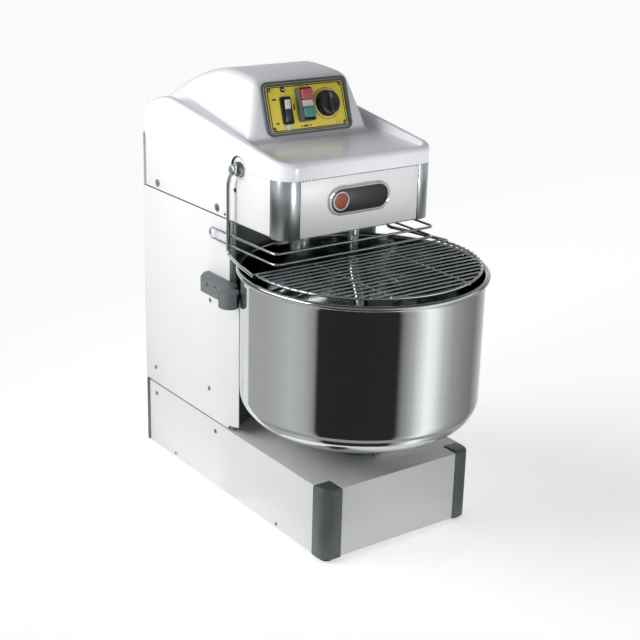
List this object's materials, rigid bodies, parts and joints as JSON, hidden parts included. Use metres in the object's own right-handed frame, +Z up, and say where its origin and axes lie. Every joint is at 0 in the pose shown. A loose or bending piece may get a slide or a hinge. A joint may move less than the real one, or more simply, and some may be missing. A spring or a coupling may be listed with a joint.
{
  "type": "spiral dough mixer",
  "caption": "Floor-standing bakery dough mixer: painted column and cantilever head, turning polished bowl, spiral hook, lifting wire guard and a sloping control panel.",
  "frame": {"origin": "on the floor, under the middle of the overall box", "axes": "+Z up, -Y towards the baker at the front, +X to the right seen from the front"},
  "size_m": [0.47, 0.78, 0.835],
  "materials": {
    "painted_steel": "smooth off-white powder coat",
    "gloss_cover": "glossy off-white moulding",
    "grey_moulding": "fine grained grey moulding",
    "satin_aluminium": "satin anodised extrusion",
    "polished_stainless": "mirror polished stainless steel",
    "plated_wire": "bright plated wire",
    "machined_steel": "turned steel, lightly oiled",
    "grey_casting": "painted casting",
    "black_plastic": "fine satin moulding",
    "foot_rubber": "matt moulded rubber",
    "yellow_plate": "printed polycarbonate overlay",
    "red_button": "semi-gloss moulding",
    "green_button": "semi-gloss moulding",
    "pale_plastic": "satin moulding",
    "motor_paint": "blue-grey machine enamel"
  },
  "bodies": {
    "machine": {"base_frame": "machined_steel", "base_cover": "painted_steel", "corner_cap_front_left": "grey_moulding", "corner_cap_front_right": "grey_moulding", "corner_cap_rear_left": "grey_moulding", "corner_cap_rear_right": "grey_moulding", "foot_front_left": "foot_rubber", "foot_front_right": "foot_rubber", "foot_rear_left": "foot_rubber", "foot_rear_right": "foot_rubber", "column_frame": "machined_steel", "column_panel_left": "painted_steel", "column_panel_right": "painted_steel", "column_front_panel": "painted_steel", "rear_cover": "painted_steel", "head_frame": "machined_steel", "head_bottom_plate": "painted_steel", "head_panel_left": "painted_steel", "head_panel_right": "painted_steel", "head_front_panel": "painted_steel", "head_corner_left": "satin_aluminium", "head_corner_right": "satin_aluminium", "head_rear_corner_left": "satin_aluminium", "head_rear_corner_right": "satin_aluminium", "top_cover": "gloss_cover", "control_bezel": "grey_moulding", "control_plate": "yellow_plate", "button_box": "pale_plastic", "selector_frame": "black_plastic", "timer_dial": "pale_plastic", "indicator_lamp": "pale_plastic", "badge": "black_plastic", "bowl_bearing": "grey_casting", "spiral_bearing": "grey_casting", "dough_breaker": "polished_stainless", "bowl_chain": "machined_steel", "spiral_chain": "machined_steel", "gearmotor": "motor_paint", "electric_box": "pale_plastic", "cable_gland": "black_plastic", "guard_bearing_left": "satin_aluminium", "guard_bearing_right": "satin_aluminium", "limit_switch": "black_plastic", "roller_bracket_left": "grey_casting", "roller_bracket_right": "grey_casting"},
    "bowl": {"bowl": "polished_stainless", "bowl_rim": "polished_stainless", "bowl_hub": "machined_steel"},
    "spiral": {"spiral_hook": "polished_stainless", "spiral_sprocket": "machined_steel"},
    "layshaft": {"layshaft": "machined_steel"},
    "guard": {"guard_grille": "plated_wire", "guard_frame": "plated_wire", "guard_shaft": "machined_steel"},
    "timer_knob": {"timer_knob": "black_plastic"},
    "selector_rocker": {"selector_rocker": "black_plastic"},
    "start_button": {"start_button": "green_button"},
    "stop_button": {"stop_button": "red_button"},
    "guide_roller_left": {"guide_roller_left": "black_plastic"},
    "guide_roller_right": {"guide_roller_right": "black_plastic"}
  },
  "joints": [
    {"name": "bowl_spin", "type": "hinge", "parent": "machine", "child": "bowl", "pos_m": [0, -0.155, 0.2], "axis": [0, 0, 1], "continuous": true},
    {"name": "spiral_spin", "type": "hinge", "parent": "machine", "child": "spiral", "pos_m": [-0.08, -0.065, 0.5], "axis": [0, 0, 1], "continuous": true},
    {"name": "layshaft_spin", "type": "hinge", "parent": "machine", "child": "layshaft", "pos_m": [0, 0.15, 0.3], "axis": [0, 0, 1], "continuous": true},
    {"name": "guard_lift", "type": "hinge", "parent": "machine", "child": "guard", "pos_m": [0, -0.002, 0.68], "axis": [-1, 0, 0], "range_deg": [0, 80]},
    {"name": "start_press", "type": "slide", "parent": "machine", "child": "start_button", "axis": [0, 0.9478, -0.319], "range_m": [0, 0.003], "stiffness_N_per_m": 600, "springref_m": -0.003},
    {"name": "stop_press", "type": "slide", "parent": "machine", "child": "stop_button", "axis": [0, 0.9478, -0.319], "range_m": [0, 0.003], "stiffness_N_per_m": 600, "springref_m": -0.003},
    {"name": "timer_turn", "type": "hinge", "parent": "machine", "child": "timer_knob", "pos_m": [0.043, 0.03225, 0.77589], "axis": [0, 0.9478, -0.319], "range_deg": [0, 300]},
    {"name": "selector_rock", "type": "hinge", "parent": "machine", "child": "selector_rocker", "pos_m": [-0.0495, 0.02654, 0.77148], "axis": [-1, 0, 0], "range_deg": [0, 8]},
    {"name": "roller_left_spin", "type": "hinge", "parent": "machine", "child": "guide_roller_left", "pos_m": [-0.2035, -0.024, 0.4415], "axis": [0, 0, 1], "continuous": true},
    {"name": "roller_right_spin", "type": "hinge", "parent": "machine", "child": "guide_roller_right", "pos_m": [0.2035, -0.024, 0.4415], "axis": [0, 0, 1], "continuous": true}
  ],
  "couplings": [
    {"joint": "layshaft_spin", "follows": "bowl_spin", "ratio": 4.5},
    {"joint": "spiral_spin", "follows": "bowl_spin", "ratio": 9}
  ]
}
